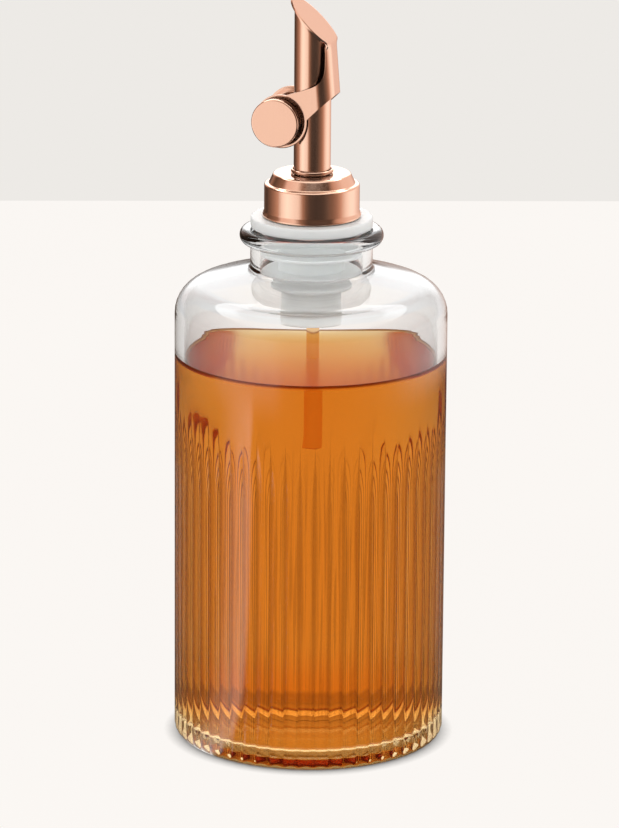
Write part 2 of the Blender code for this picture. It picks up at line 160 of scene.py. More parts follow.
def ray_kinds(tree):
    """1 for camera rays, for rays that a gloss threw here, for rays that came out of
    glass, and for rays that only bring light to a matt surface."""
    path = new_node(tree, "ShaderNodeLightPath")
    thrown = calculate(tree, "MULTIPLY", path.outputs["Is Glossy Ray"],
                       path.outputs["Is Reflection Ray"])
    lighting = calculate(tree, "GREATER_THAN", path.outputs["Diffuse Depth"], 0.5)
    return path.outputs["Is Camera Ray"], thrown, path.outputs["Is Transmission Ray"], lighting


def round_the_bottle(tree, direction):
    """Part of a turn round Z from straight behind, and the height of a direction."""
    spin = new_node(tree, "ShaderNodeVectorRotate", rotation_type="Z_AXIS")
    spin.inputs["Angle"].default_value = -VIEW_AZIMUTH
    tree.links.new(direction, spin.inputs["Vector"])
    axes = new_node(tree, "ShaderNodeSeparateXYZ")
    tree.links.new(spin.outputs[0], axes.inputs[0])
    toward = calculate(tree, "MULTIPLY", axes.outputs["Y"], -1.0)
    azimuth = calculate(tree, "ARCTAN2", axes.outputs["X"], toward)
    return calculate(tree, "MULTIPLY_ADD", azimuth, 1.0 / math.tau, 0.5), axes.outputs["Z"]


SOFTBOX_LEVEL = 3.6              # its lower part
SOFTBOX_TOP_LEVEL = (1.10, 0.98, 0.88)
SOFTBOX_EDGE = (40.5, 41.5)      # degrees above level
SOFTBOX_TOP_FROM = (52.0, 57.0)
SOFTBOX_FRONT_LEVEL = 1.15       # its side towards the camera is dimmer
SOFTBOX_IN_FRONT = [(-180, 0.0), (-110, 0.0), (-80, 1.0), (80, 1.0), (110, 0.0), (180, 0.0)]
THROUGH_LEVEL = 1.2              # the softbox seen through glass
TENT_LEVEL, TENT_IN_GLASS = 0.90, 2.7
WALL_COLOUR = (0.847, 0.823, 0.791)
LOW_TO_HIGH = (-0.02, 0.12)      # heights of a direction where the low ring gives way

world = bpy.data.worlds.new("studio")
bpy.context.scene.world = world
world.use_nodes = True
tree = world.node_tree
tree.nodes.clear()
turn, height = round_the_bottle(tree, new_node(tree, "ShaderNodeTexCoord").outputs["Generated"])
low_ring = ring_of_light(tree, turn, [
    (-180, 0.12), (-160, 0.13), (-140, 0.06), (-120, 0.18), (-105, 0.32), (-90, 0.55),
    (-78, 1.00), (-62, 1.25), (-45, 1.05), (-32, 0.99), (-23, 0.42), (-14, 0.16),
    (-5, 0.06), (10, 0.04), (25, 0.05), (35, 0.09), (45, 0.17), (55, 0.25), (65, 0.38),
    (75, 0.64), (90, 0.98), (105, 1.14), (120, 1.14), (140, 0.92), (160, 0.72),
    (180, 0.30)], warm=True)
high_ring = ring_of_light(tree, turn, [
    (-180, 2.20), (-168, 2.10), (-155, 0.80), (-140, 0.30), (-126, 0.10), (-90, 0.30),
    (-80, 0.85), (-45, 0.95), (-30, 0.30), (-10, 0.08), (50, 0.10), (66, 0.60),
    (100, 0.92), (155, 0.94), (168, 2.10), (180, 2.20)], warm=True)
behind_ring = ring_of_light(tree, turn, [
    (-180, 0.90), (-125, 0.85), (-90, 0.42), (-60, 0.30), (60, 0.22), (90, 0.36),
    (125, 0.85), (180, 0.90)])
sides = blend_colours(tree, step_between(tree, height, *LOW_TO_HIGH), low_ring, high_ring)
camera_ray, thrown, through, lighting = ray_kinds(tree)
sides = blend_colours(tree, through, sides, behind_ring)
edge, top_from = ([math.sin(math.radians(e)) for e in pair]
                  for pair in (SOFTBOX_EDGE, SOFTBOX_TOP_FROM))
softbox_light = blend_colours(tree, step_between(tree, height, *top_from),
                              (SOFTBOX_LEVEL,) * 3, SOFTBOX_TOP_LEVEL)
front_ring = ring_of_light(tree, turn, SOFTBOX_IN_FRONT)
softbox_light = blend_colours(tree, front_ring, softbox_light, (SOFTBOX_FRONT_LEVEL,) * 3)
softbox_light = blend_colours(tree, through, softbox_light, (THROUGH_LEVEL,) * 3)
studio = blend_colours(tree, step_between(tree, height, *edge), sides, softbox_light)
tent = blend_colours(tree, through, (TENT_LEVEL,) * 3, (TENT_IN_GLASS,) * 3)
studio = blend_colours(tree, lighting, studio, tent)
seen = blend_colours(tree, camera_ray, studio, WALL_COLOUR)
background = new_node(tree, "ShaderNodeBackground")
tree.links.new(seen, background.inputs["Color"])
output = new_node(tree, "ShaderNodeOutputWorld")
tree.links.new(background.outputs[0], output.inputs["Surface"])

FLOOR_BACK = 0.638           # metres from the bottle to the far edge of the board
FLOOR_REACH = 3.0
EDGE_SKEW = 0.0256           # the far edge comes a little nearer on the left
TABLE_REACH = (0.38, 0.44)   # a gloss sees the dark table top up to here
CONTACT_REACH = 0.0038       # the painted contact shadow's width, metres
CONTACT_DEPTH = 0.9
PAINTED_CONTACT_SHADOW_COLOUR = (0.05, 0.048, 0.045)
UNDER_FOOT = (0.033, 0.036)  # painted glow: the board is brighter within the foot, standing in for light through the glass
UNDER_FOOT_PAINTED_GLOW = (1.75, 1.65, 1.50)
floor_side = np.array([-FLOOR_REACH, FLOOR_REACH, FLOOR_REACH, -FLOOR_REACH])
floor_depth = np.array([-FLOOR_REACH, -FLOOR_REACH, FLOOR_BACK, FLOOR_BACK])
floor_depth[2:] += EDGE_SKEW * floor_side[2:]
floor_x = floor_side * math.cos(VIEW_AZIMUTH) - floor_depth * math.sin(VIEW_AZIMUTH)
floor_y = floor_side * math.sin(VIEW_AZIMUTH) + floor_depth * math.cos(VIEW_AZIMUTH)
floor_mesh = bpy.data.meshes.new("floor")
floor_mesh.from_pydata(np.stack([floor_x, floor_y, floor_x * 0.0], 1).tolist(), [],
                       [(0, 1, 2, 3)])
floor = bpy.data.objects.new("floor", floor_mesh)
bpy.context.scene.collection.objects.link(floor)
floor_look = bpy.data.materials.new("lit_board")
floor_look.use_nodes = True
tree = floor_look.node_tree
tree.nodes.remove(tree.nodes["Principled BSDF"])
place = new_node(tree, "ShaderNodeTexCoord").outputs["Object"]
grain = noise_over(tree, place, 3.0)
paper_and_painted_light = blend_colours(tree, grain, (0.952, 0.918, 0.885), (0.974, 0.940, 0.908))
reach = new_node(tree, "ShaderNodeVectorMath", operation="LENGTH")
tree.links.new(place, reach.inputs[0])
distance = reach.outputs["Value"]
# Painted contact shadow: ambient occlusion darkens the glowing board's colour next to the bottle's foot.
crease = new_node(tree, "ShaderNodeAmbientOcclusion", samples=12)
crease.inputs["Distance"].default_value = CONTACT_REACH
outside = step_between(tree, distance, *UNDER_FOOT)
shade = calculate(tree, "SUBTRACT", 1.0, crease.outputs["AO"])
shade = calculate(tree, "MULTIPLY", shade, CONTACT_DEPTH)
shade = calculate(tree, "MULTIPLY", shade, outside)
paper_and_painted_light = blend_colours(tree, shade, paper_and_painted_light, PAINTED_CONTACT_SHADOW_COLOUR)
# Painted glow: within the foot the board's colour is brighter.
paper_and_painted_light = blend_colours(tree, outside, UNDER_FOOT_PAINTED_GLOW, paper_and_painted_light)
board = new_node(tree, "ShaderNodeEmission")
tree.links.new(paper_and_painted_light, board.inputs["Color"])
turn, _ = round_the_bottle(tree, place)
strip = ring_of_light(tree, turn, [
    (-180, 0.06), (-120, 0.05), (-80, 0.06), (-72, 0.35), (-50, 2.10), (-46, 0.05),
    (60, 0.04), (90, 0.06), (130, 0.06), (180, 0.06)])
table = new_node(tree, "ShaderNodeEmission")
tree.links.new(strip, table.inputs["Color"])
clear = new_node(tree, "ShaderNodeBsdfTransparent")
beyond = step_between(tree, distance, *TABLE_REACH)
_, thrown, _, _ = ray_kinds(tree)
mirrored = new_node(tree, "ShaderNodeMixShader")
tree.links.new(beyond, mirrored.inputs["Fac"])
tree.links.new(table.outputs[0], mirrored.inputs[1])
tree.links.new(clear.outputs[0], mirrored.inputs[2])
choice = new_node(tree, "ShaderNodeMixShader")
tree.links.new(thrown, choice.inputs["Fac"])
tree.links.new(board.outputs[0], choice.inputs[1])
tree.links.new(mirrored.outputs[0], choice.inputs[2])
tree.links.new(choice.outputs[0], tree.nodes["Material Output"].inputs["Surface"])
floor_mesh.materials.append(floor_look)


# ---- Glass bottle -------------------------------------------------------------------
# Clear glass blown into a ribbed mould: 58 upright ribs, a plain band above them, a
# sloping shoulder and a fire-polished rolled lip. The foot is thick and a little hollow.
MM = 0.001


def softened(corners, steps=8):
    """An outline through (r, z, radius) corners, each rounded by a circle's arc.

    The arc's centre lies on the corner's bisector, and its ends are where it touches the
    two straight sides. Each straight side gets a point a little way in from either end,
    so that the shading stays flat along it.
    """
    corners = np.array(corners, float)
    bends = [(corners[:1, :2], 0.0)]
    for before, corner, after in zip(corners, corners[1:], corners[2:]):
        here = corner[:2]
        back = (before[:2] - here) / np.linalg.norm(before[:2] - here)
        on = (after[:2] - here) / np.linalg.norm(after[:2] - here)
        half = math.acos(np.clip(back @ on, -1.0, 1.0)) / 2.0
        if corner[2] <= 0.0 or half > 1.56:
            bends.append((here[None], 0.0))
            continue
        centre = here + (back + on) / np.linalg.norm(back + on) * corner[2] / math.sin(half)
        first = here + back * corner[2] / math.tan(half) - centre
        last = here + on * corner[2] / math.tan(half) - centre
        sweep = math.pi - 2.0 * half
        t = np.linspace(0.0, 1.0, steps + 1)[:, None]
        arc = (np.sin((1 - t) * sweep) * first + np.sin(t * sweep) * last) / math.sin(sweep)
        bends.append((centre + arc, corner[2]))
    bends.append((corners[-1:, :2], 0.0))
    outline = [bends[0][0]]
    for (bend, radius), (after, next_radius) in zip(bends, bends[1:]):
        side = after[0] - bend[-1]
        length = np.linalg.norm(side)
        held = [(radius, bend[-1], side), (next_radius, after[0], -side)]
        for size, end, way in held:
            if size > 0.0 and length > 0.02:
                step = min(0.15 * size + 0.02, 0.3 * length)
                outline.append((end + way * step / length)[None])
        outline.append(after)
    return np.concatenate(outline)


def filled_in(outline, longest):
    """Divides an outline's longer stretches evenly so that none exceeds a length."""
    counts = np.ceil(np.linalg.norm(np.diff(outline, axis=0), axis=1) / longest)
    counts = np.maximum(counts, 1).astype(int)
    at = np.concatenate([i + np.arange(n) / n for i, n in enumerate(counts)]
                        + [[len(outline) - 1.0]])
    index = np.arange(len(outline))
    return np.stack([np.interp(at, index, outline[:, k]) for k in (0, 1)], 1)


def skin(name, grid, round_rows=False, poles=False):
    """A smooth closed mesh over a grid of points in millimetres.

    Columns close on themselves, and rows do where asked; with poles, the first and the
    last row are single points. Faces turn outward: the skin is turned round if the volume
    that its faces enclose comes out negative.
    """
    rows, columns = grid.shape[:2]
    index = np.arange(rows * columns).reshape(rows, columns)
    points = grid.reshape(-1, 3)
    if poles:
        index[0] = index[0, 0]
        index[-1] = index[-1, 0]
    down = np.roll(index, -1, 0) if round_rows else index[1:]
    across = index if round_rows else index[:-1]
    right, right_down = np.roll(across, -1, 1), np.roll(down, -1, 1)
    quads = np.stack([across, down, right_down, right], -1).reshape(-1, 4)
    a, b, c, d = (points[quads[:, k]] for k in range(4))
    volume = np.einsum("ij,ij->i", a, np.cross(b, c)) + np.einsum("ij,ij->i", a, np.cross(c, d))
    if volume.sum() < 0.0:
        quads = quads[:, ::-1]
    used, quads = np.unique(quads, return_inverse=True)
    quads = quads.reshape(-1, 4)
    points = points[used]
    faces = [list(dict.fromkeys(face)) for face in quads.tolist()] if poles else quads.tolist()
    mesh = bpy.data.meshes.new(name)
    mesh.from_pydata((points * MM).tolist(), [], faces)
    mesh.shade_smooth()
    made = bpy.data.objects.new(name, mesh)
    bpy.context.scene.collection.objects.link(made)
    return made


def turned(outline, columns):
    """The points of an outline (r, z) carried round Z: x = r cos a, y = r sin a."""
    angle = np.arange(columns) / columns * math.tau
    radius, height = outline[:, :1], outline[:, 1:]
    return np.stack([radius * np.cos(angle), radius * np.sin(angle),
                     height + 0.0 * angle], -1)


BODY_R = 38.0
WALL = 2.6
FLOOR_Z = 4.8
FLOOR_ROUND_R = 4.5
NECK_R, BORE_R = 17.0, 14.4
LIP_R, LIP_LOW, LIP_TOP = 20.0, 142.5, 146.7
RIBS, RIB_DEPTH = 58, 0.65
RIB_FULL_Z, RIB_END_Z = 79.0, 96.5
RIB_FADE = 1.8               # above 1, the ribs lose depth slowly near their tips
HEEL_Z = 2.2                 # the ribs gain their depth from the foot up to here
COLUMNS_A_RIB = 12
WET_Z = 110.45               # the oil wets the inner side up to here

bottle_outline = softened([
    (0.0, FLOOR_Z, 0), (BODY_R - WALL, FLOOR_Z, FLOOR_ROUND_R), (BODY_R - WALL, WET_Z, 0),
    (BODY_R - WALL, 127.12, 6.4),
    (BORE_R, 133.14, 2.5), (BORE_R, LIP_TOP, 1.0), (LIP_R, LIP_TOP, 2.05),
    (LIP_R, LIP_LOW, 2.05), (NECK_R, LIP_LOW, 0.35), (NECK_R, 135.1, 1.3),
    (BODY_R, 129.08, 9.0), (BODY_R, 0.0, 2.6), (28.0, 0.0, 0.8), (25.5, 0.84, 1.5),
    (0.0, 1.4, 0)])
bottle_outline = filled_in(bottle_outline, 3.4)
bottle_grid = turned(bottle_outline, RIBS * COLUMNS_A_RIB)
radius, height = bottle_outline[:, 0], bottle_outline[:, 1]
outer_from = np.argmax(height == LIP_TOP)
outside = (np.arange(len(radius)) > outer_from) & (radius > BODY_R - 2.4)
fade = np.clip((RIB_END_Z - height) / (RIB_END_Z - RIB_FULL_Z), 0.0, 1.0) ** RIB_FADE
fade *= np.clip(height / HEEL_Z, 0.0, 1.0) * outside
across_rib = 2.0 * (np.arange(RIBS * COLUMNS_A_RIB) / COLUMNS_A_RIB % 1.0) - 1.0
from_crest = 1.0 - np.abs(across_rib)
groove = from_crest ** 2.0
squeeze = 1.0 - RIB_DEPTH * fade[:, None] * groove / BODY_R
bottle_grid[:, :, :2] *= squeeze[:, :, None]
bottle = skin("bottle_glass", bottle_grid, poles=True)

STREAKS_FROM_Z = (RIB_END_Z, RIB_FULL_Z - 4.0)
# Painted shade: the grooves and fine streaks on the ribs are darkened in the glass's colour.
GROOVE_PAINTED_SHADE, GROOVE_DEPTH = (0.30, 0.25, 0.22), 0.72
STREAK_PAINTED_SHADE, STREAK_DEPTH = (0.42, 0.36, 0.30), 0.62
# Painted light: the thick clear foot is tinted amber for the oil's light seen through it, and painted
# shade darkens it towards the very bottom.
FOOT_PAINTED_AMBER_LIGHT, FOOT_DEPTH, FOOT_FROM_Z = (1.0, 0.62, 0.17), 0.92, (22.0, 7.0)
DEEP_PAINTED_SHADE, DEEP_DEPTH, DEEP_FROM_Z = (0.42, 0.24, 0.08), 0.85, (7.4, 5.4)
# Painted shade on glass seen edge on.
CLEAR_EDGE_PAINTED_SHADE, OILY_EDGE_PAINTED_SHADE = (0.10, 0.10, 0.10), (0.17, 0.075, 0.018)
OILY_FROM_Z = (116.0, 108.0)
LIP_FROM_Z = (134.0, 141.0)
EDGE_NARROWNESS = 1.35


def along_ribs(tree, ribs_on, height, waves_a_rib, waves_a_metre, detail):
    """Noise drawn out along the ribs."""
    drawn = new_node(tree, "ShaderNodeCombineXYZ")
    tree.links.new(calculate(tree, "MULTIPLY", ribs_on, waves_a_rib), drawn.inputs["X"])
    tree.links.new(calculate(tree, "MULTIPLY", height, waves_a_metre), drawn.inputs["Y"])
    return noise_over(tree, drawn.outputs[0], detail=detail)


def tinted(tree, colour, mask, depth, tint):
    """A colour blended towards a tint by a mask, as far as a depth."""
    return blend_colours(tree, calculate(tree, "MULTIPLY", mask, depth), colour, tint)


def rib_painted_shade(tree, axes, height, on_ribs, colour):
    """Paints shade into the grooves and fine dark streaks along the ribs, for camera rays only.

    A groove's darkness is 1 at its middle and 0 where the distance to it, in ribs, is the
    groove's width, which is noise.
    """
    first_seen = new_node(tree, "ShaderNodeLightPath").outputs["Is Camera Ray"]
    angle = calculate(tree, "ARCTAN2", axes.outputs["Y"], axes.outputs["X"])
    ribs_on = calculate(tree, "MULTIPLY", angle, RIBS / math.tau)
    across = calculate(tree, "FRACT", ribs_on)
    from_groove = calculate(tree, "ABSOLUTE", calculate(tree, "SUBTRACT", across, 0.5))
    width = calculate(tree, "MULTIPLY", along_ribs(tree, ribs_on, height, 0.9, 25.0, 2.0), 0.58)
    width = calculate(tree, "MULTIPLY", width, on_ribs)
    dark = calculate(tree, "DIVIDE", from_groove, calculate(tree, "ADD", width, 0.001))
    dark = step_between(tree, dark, 1.0, 0.0)
    dark = calculate(tree, "MULTIPLY", dark, first_seen)
    colour = tinted(tree, colour, dark, GROOVE_DEPTH, GROOVE_PAINTED_SHADE)
    painted_streaks = step_between(tree, along_ribs(tree, ribs_on, height, 5.5, 26.0, 1.0), 0.46, 0.66)
    painted_streaks = calculate(tree, "MULTIPLY", painted_streaks, on_ribs)
    painted_streaks = calculate(tree, "MULTIPLY", painted_streaks, first_seen)
    return tinted(tree, colour, painted_streaks, STREAK_DEPTH, STREAK_PAINTED_SHADE)


def edge_painted_shade(tree, height, colour):
    """Paints shade on glass seen edge on: brown beside the oil, grey above it, less on the lip."""
    grazing = new_node(tree, "ShaderNodeLayerWeight")
    grazing.inputs["Blend"].default_value = 0.5
    edge = calculate(tree, "POWER", grazing.outputs["Facing"], EDGE_NARROWNESS)
    oily = step_between(tree, height, *(z * MM for z in OILY_FROM_Z))
    lip = step_between(tree, height, *(z * MM for z in LIP_FROM_Z))
    edge = calculate(tree, "MULTIPLY", edge, calculate(tree, "MULTIPLY_ADD", oily, 0.6, 0.4))
    edge = calculate(tree, "MULTIPLY", edge, calculate(tree, "MULTIPLY_ADD", lip, -0.5, 1.0))
    tint = blend_colours(tree, oily, CLEAR_EDGE_PAINTED_SHADE, OILY_EDGE_PAINTED_SHADE)
    return blend_colours(tree, edge, colour, tint)


def smooth_coat(tree, shader, place, on_ribs):
    """A clear coat on the ribs that mirrors like a plain cylinder: its normal is (x, y, 0).

    The glass's own mirror fades out where the coat fades in.
    """
    tree.links.new(blend_colours(tree, on_ribs, (1.0, 1.0, 1.0), (0.0, 0.0, 0.0)),
                   shader.inputs["Specular Tint"])
    inward = new_node(tree, "ShaderNodeNewGeometry").outputs["Backfacing"]
    coat = calculate(tree, "MULTIPLY", calculate(tree, "SUBTRACT", 1.0, inward), on_ribs)
    tree.links.new(coat, shader.inputs["Coat Weight"])
    shader.inputs["Coat Roughness"].default_value = 0.05
    flat = new_node(tree, "ShaderNodeVectorMath", operation="MULTIPLY")
    flat.inputs[1].default_value = (1.0, 1.0, 0.0)
    tree.links.new(place, flat.inputs[0])
    outward = new_node(tree, "ShaderNodeVectorMath", operation="NORMALIZE")
    tree.links.new(flat.outputs[0], outward.inputs[0])
    tree.links.new(outward.outputs[0], shader.inputs["Coat Normal"])


def blown_glass(name, wetted):
    """Clear glass with faint waves, with painted shade on its ribs and edges and painted amber light in
    its foot. Where oil wets it, it has no mirror of its own.
    """
    look = bpy.data.materials.new(name)
    look.use_nodes = True
    tree = look.node_tree
    shader = tree.nodes["Principled BSDF"]
    shader.inputs["Transmission Weight"].default_value = 1.0
    shader.inputs["IOR"].default_value = 1.5
    place = new_node(tree, "ShaderNodeTexCoord").outputs["Object"]
    stretch = new_node(tree, "ShaderNodeMapping")
    stretch.inputs["Scale"].default_value = (60.0, 60.0, 22.0)
    tree.links.new(place, stretch.inputs["Vector"])
    waves = noise_over(tree, stretch.outputs[0], detail=1.0)
    colour = blend_colours(tree, waves, (0.985, 0.99, 0.988), (0.995, 1.0, 0.998))
    tree.links.new(calculate(tree, "MULTIPLY", waves, 0.012), shader.inputs["Roughness"])
    if wetted:
        shader.inputs["Specular Tint"].default_value = (0.0, 0.0, 0.0, 1.0)
    else:
        axes = new_node(tree, "ShaderNodeSeparateXYZ")
        tree.links.new(place, axes.inputs[0])
        height = axes.outputs["Z"]
        on_ribs = step_between(tree, height, *(z * MM for z in STREAKS_FROM_Z))
        foot = step_between(tree, height, *(z * MM for z in FOOT_FROM_Z))
        deep = step_between(tree, height, *(z * MM for z in DEEP_FROM_Z))
        colour = rib_painted_shade(tree, axes, height, on_ribs, colour)
        # Painted amber light in the foot and painted shade at its bottom.
        colour = tinted(tree, colour, foot, FOOT_DEPTH, FOOT_PAINTED_AMBER_LIGHT)
        colour = tinted(tree, colour, deep, DEEP_DEPTH, DEEP_PAINTED_SHADE)
        colour = edge_painted_shade(tree, height, colour)
        ripple = new_node(tree, "ShaderNodeBump")
        ripple.inputs["Strength"].default_value = 0.25
        ripple.inputs["Distance"].default_value = 0.12 * MM
        tree.links.new(waves, ripple.inputs["Height"])
        tree.links.new(ripple.outputs[0], shader.inputs["Normal"])
        smooth_coat(tree, shader, place, on_ribs)
    tree.links.new(colour, shader.inputs["Base Color"])
    return look


def give_faces(piece, looks, chosen):
    """The second look goes to the faces that a test on their centres (mm) picks."""
    for look in looks:
        piece.data.materials.append(look)
    centres = np.empty(len(piece.data.polygons) * 3)
    piece.data.polygons.foreach_get("center", centres)
    radius, height = (np.hypot(centres[0::3], centres[1::3]) / MM, centres[2::3] / MM)
    piece.data.polygons.foreach_set("material_index", chosen(radius, height).astype(int))


give_faces(bottle, [blown_glass("blown_glass", False), blown_glass("wetted_glass", True)],
           lambda r, z: (r < BODY_R - WALL + 0.05) & (z < WET_Z) & (z > FLOOR_Z - 0.01))
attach(bottle, "bottle")
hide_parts("glass_bottle")

# ---- Oil ----------------------------------------------------------------------------
# The contents: clear amber oil that wets the glass, so its skin lies a little within the
# wall's thickness, with a small meniscus where its level meets the glass.
FILL_Z = 110.0
WETTING = 0.30
MENISCUS = 0.9
OIL_IOR, SURFACE_IOR = 1.46, 1.10        # the open surface bends light less
# Painted light: the open top is tinted amber for the light the oil sends up through it, and the meniscus
# is painted dark brown shade.
SURFACE_PAINTED_AMBER_LIGHT, SURFACE_ROUGHNESS = (0.94, 0.62, 0.24), 0.32
MENISCUS_PAINTED_SHADE = (0.30, 0.12, 0.03)
OIL_COLOUR, OIL_DENSITY = (0.930, 0.640, 0.045), 60.0
oil_r = BODY_R - WALL + WETTING
oil_outline = softened([
    (0.0, FLOOR_Z - WETTING, 0), (oil_r, FLOOR_Z - WETTING, FLOOR_ROUND_R),
    (oil_r, FILL_Z + MENISCUS, 0.1), (oil_r - WETTING - 0.15, FILL_Z + MENISCUS, 0.05),
    (oil_r - WETTING - MENISCUS, FILL_Z, 1.2), (0.0, FILL_Z, 0)])
oil = skin("amber_oil", turned(filled_in(oil_outline, 3.0), 220), poles=True)
oil_look = bpy.data.materials.new("amber_oil")
oil_look.use_nodes = True
tree = oil_look.node_tree
shader = tree.nodes["Principled BSDF"]
shader.inputs["Transmission Weight"].default_value = 1.0
place = new_node(tree, "ShaderNodeTexCoord").outputs["Object"]
axes = new_node(tree, "ShaderNodeSeparateXYZ")
tree.links.new(place, axes.inputs[0])
open_top = step_between(tree, axes.outputs["Z"], (FILL_Z - 0.3) * MM, (FILL_Z - 0.1) * MM)
bending = calculate(tree, "MULTIPLY_ADD", open_top, SURFACE_IOR - OIL_IOR, OIL_IOR)
tree.links.new(bending, shader.inputs["IOR"])
tree.links.new(blend_colours(tree, open_top, (0.0, 0.0, 0.0), (0.25, 0.25, 0.25)),
               shader.inputs["Specular Tint"])
haze = noise_over(tree, place, 40.0)
oil_tone_and_painted_light = blend_colours(tree, haze, (1.0, 0.985, 0.95), (1.0, 0.995, 0.98))
# Painted amber light on the open top and painted shade on the meniscus.
oil_tone_and_painted_light = blend_colours(tree, open_top, oil_tone_and_painted_light, SURFACE_PAINTED_AMBER_LIGHT)
meniscus = step_between(tree, axes.outputs["Z"], (FILL_Z + 0.05) * MM, (FILL_Z + 0.2) * MM)
oil_tone_and_painted_light = blend_colours(tree, meniscus, oil_tone_and_painted_light, MENISCUS_PAINTED_SHADE)
tree.links.new(calculate(tree, "MULTIPLY", open_top, SURFACE_ROUGHNESS),
               shader.inputs["Roughness"])
tree.links.new(oil_tone_and_painted_light, shader.inputs["Base Color"])
absorb = new_node(tree, "ShaderNodeVolumeAbsorption")
absorb.inputs["Color"].default_value = (*OIL_COLOUR, 1.0)
absorb.inputs["Density"].default_value = OIL_DENSITY
tree.links.new(absorb.outputs[0], tree.nodes["Material Output"].inputs["Volume"])
oil.data.materials.append(oil_look)
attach(oil, "bottle")

# ---- Stopper ------------------------------------------------------------------------
# One moulding in soft milky plastic: a flange on the bottle's lip, a spigot inside the
# cap, and a core with two sealing fins and a skirt that press on the neck.
SPOUT_HOLE_R = 5.43          # the hole round the spout in the stopper, cap and bead
stopper_outline = softened([
    (SPOUT_HOLE_R, 150.0, 0), (SPOUT_HOLE_R, 121.0, 0.2), (8.3, 121.0, 0.5), (8.3, 128.3, 0.3),
    (11.2, 128.6, 0.2), (11.2, 129.5, 0.3), (9.2, 130.7, 0.4), (9.2, 133.4, 0.4),
    (14.1, 133.9, 0.25), (14.1, 134.8, 0.25), (9.2, 135.2, 0.4), (9.2, 139.1, 0.4),
    (14.1, 139.6, 0.25), (14.1, 140.5, 0.25), (9.2, 140.9, 0.4), (9.2, 143.7, 0.3),
    (11.4, 144.7, 0.4), (11.4, 147.0, 0.2), (17.0, 147.0, 0.5), (17.0, 150.0, 0.6),
    (12.0, 150.0, 0.1), (12.0, 158.0, 0.4), (SPOUT_HOLE_R, 158.0, 0.2), (SPOUT_HOLE_R, 150.5, 0)], steps=5)
stopper = skin("stopper", turned(filled_in(stopper_outline, 3.0), 128), round_rows=True)
milky_look = bpy.data.materials.new("milky_plastic")
milky_look.use_nodes = True
tree = milky_look.node_tree
shader = tree.nodes["Principled BSDF"]
shader.inputs["Subsurface Weight"].default_value = 0.6
shader.inputs["Subsurface Radius"].default_value = (1.0, 1.0, 0.95)
shader.inputs["Subsurface Scale"].default_value = 0.003
shader.inputs["IOR"].default_value = 1.49
place = new_node(tree, "ShaderNodeTexCoord").outputs["Object"]
cloud = noise_over(tree, place, 160.0, 3.0)
milk = blend_colours(tree, cloud, (0.74, 0.765, 0.76), (0.80, 0.815, 0.81))
tree.links.new(milk, shader.inputs["Base Color"])
satin = calculate(tree, "MULTIPLY_ADD", cloud, 0.14, 0.30)
tree.links.new(satin, shader.inputs["Roughness"])
mould_skin = new_node(tree, "ShaderNodeBump")
mould_skin.inputs["Strength"].default_value = 0.15
mould_skin.inputs["Distance"].default_value = 0.0001
tree.links.new(cloud, mould_skin.inputs["Height"])
tree.links.new(mould_skin.outputs[0], shader.inputs["Normal"])
stopper.data.materials.append(milky_look)
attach(stopper, "pourer")
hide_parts("stopper_plug")

# ---- Cap ----------------------------------------------------------------------------
# A drawn copper-plated shell pressed over the stopper: flared rim, upright side, a small
# ledge above its shoulder, then a sloping crown up to the spout. Softly brushed upright.
cap_outline = softened([
    (SPOUT_HOLE_R, 161.9, 0), (SPOUT_HOLE_R, 162.3, 0.12), (10.65, 162.25, 0.8), (12.02, 159.5, 0.35),
    (12.5, 159.42, 0.05), (13.25, 159.42, 0.7), (13.25, 151.8, 1.6), (13.7, 150.75, 0.3),
    (13.75, 150.3, 0.1), (12.55, 150.3, 0.12), (12.55, 158.55, 0.3), (11.5, 158.75, 0.2),
    (9.9, 161.2, 0.4), (SPOUT_HOLE_R, 161.55, 0.1), (SPOUT_HOLE_R, 161.75, 0)])
cap = skin("cap", turned(filled_in(cap_outline, 2.5), 160), round_rows=True)

brushing = bpy.data.node_groups.new("upright_brushing", "ShaderNodeTree")
for socket_name, socket_kind, level in (("Place", "NodeSocketVector", None),
                                        ("Fineness", "NodeSocketFloat", 1.0)):
    socket = brushing.interface.new_socket(socket_name, in_out="INPUT",
                                           socket_type=socket_kind)
    if level is not None:
        socket.default_value = level
for socket_name in ("Streaks", "Clouds"):
    brushing.interface.new_socket(socket_name, in_out="OUTPUT",
                                  socket_type="NodeSocketFloat")
group_in = new_node(brushing, "NodeGroupInput")
group_out = new_node(brushing, "NodeGroupOutput")
combed = new_node(brushing, "ShaderNodeMapping")
combed.inputs["Scale"].default_value = (1.0, 1.0, 0.018)
brushing.links.new(group_in.outputs["Place"], combed.inputs["Vector"])
scratches = new_node(brushing, "ShaderNodeTexNoise")
scratches.inputs["Detail"].default_value = 4.0
fine = calculate(brushing, "MULTIPLY", group_in.outputs["Fineness"], 2600.0)
brushing.links.new(fine, scratches.inputs["Scale"])
brushing.links.new(combed.outputs[0], scratches.inputs["Vector"])
brushing.links.new(scratches.outputs["Fac"], group_out.inputs["Streaks"])
tarnish = noise_over(brushing, group_in.outputs["Place"], 90.0)
brushing.links.new(tarnish, group_out.inputs["Clouds"])
COPPER_IN_COPPER_PAINTED_SHADE = (0.50, 0.40, 0.34)     # painted shade: copper seen in copper is a duller brown


